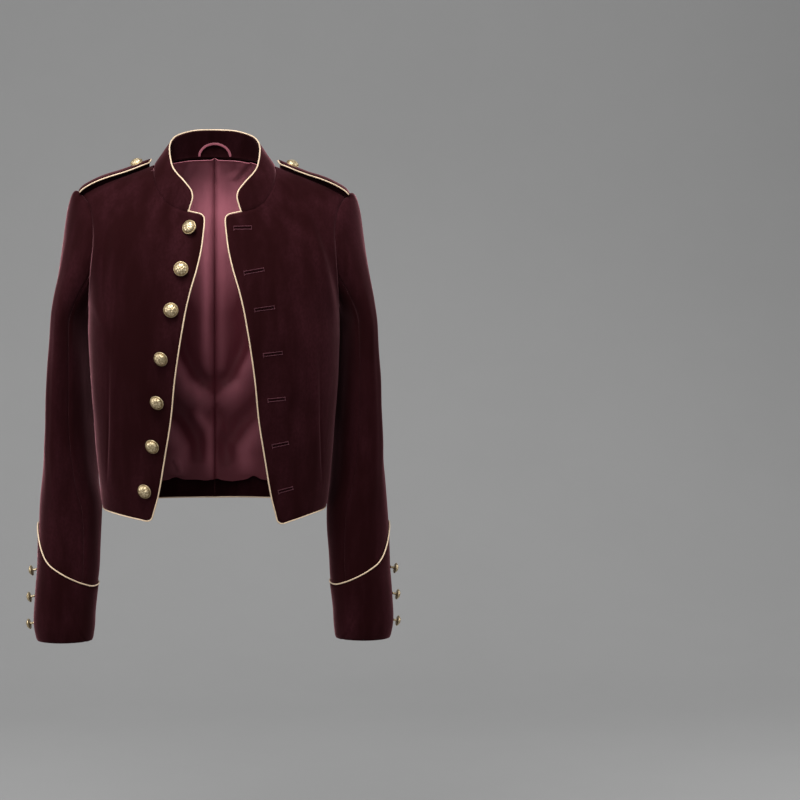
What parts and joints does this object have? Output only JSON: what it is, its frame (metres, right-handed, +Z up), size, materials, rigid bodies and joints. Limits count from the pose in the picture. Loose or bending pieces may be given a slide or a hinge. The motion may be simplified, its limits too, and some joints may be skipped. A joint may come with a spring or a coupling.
{
  "type": "velvet jacket",
  "caption": "Cropped velvet jacket worn open, with a stand collar, piped edges, shoulder straps, pointed cuffs and domed metal buttons, filled out as if worn.",
  "frame": {"origin": "on the shoulder line, midway between the two ends of the neck seam at the shoulders, where the wearer's shoulders hold the jacket", "axes": "+X to the wearer's left, +Y to the back, +Z up; the front faces -Y"},
  "size_m": [0.5258, 0.2249, 0.7118],
  "materials": {
    "velvet": "cotton velvet, dark burgundy, soft sheen at its edges",
    "lining_satin": "dusty rose satin",
    "gold_cord": "pale gold twisted cord piping",
    "old_gold": "antique gold, pressed relief"
  },
  "bodies": {
    "root": {"front_left": "velvet", "back_left": "velvet", "side_back_left": "velvet", "upper_sleeve_left": "velvet", "under_sleeve_left": "velvet", "cuff_left": "velvet", "epaulette_left": "velvet", "front_right": "velvet", "back_right": "velvet", "side_back_right": "velvet", "upper_sleeve_right": "velvet", "under_sleeve_right": "velvet", "cuff_right": "velvet", "epaulette_right": "velvet", "collar": "velvet", "lining_back_left": "lining_satin", "lining_side_left": "lining_satin", "lining_back_right": "lining_satin", "lining_side_right": "lining_satin", "hanger_loop": "lining_satin", "piping_front_left": "gold_cord", "piping_front_right": "gold_cord", "piping_hem_back": "gold_cord", "piping_collar": "gold_cord", "piping_cuff_left": "gold_cord", "piping_cuff_right": "gold_cord", "piping_epaulette_left": "gold_cord", "piping_epaulette_right": "gold_cord", "button_front_1": "old_gold", "button_front_2": "old_gold", "button_front_3": "old_gold", "button_front_4": "old_gold", "button_front_5": "old_gold", "button_front_6": "old_gold", "button_front_7": "old_gold", "button_shoulder_left": "old_gold", "button_shoulder_right": "old_gold", "button_cuff_left_1": "old_gold", "button_cuff_left_2": "old_gold", "button_cuff_left_3": "old_gold", "button_cuff_right_1": "old_gold", "button_cuff_right_2": "old_gold", "button_cuff_right_3": "old_gold"}
  },
  "joints": []
}
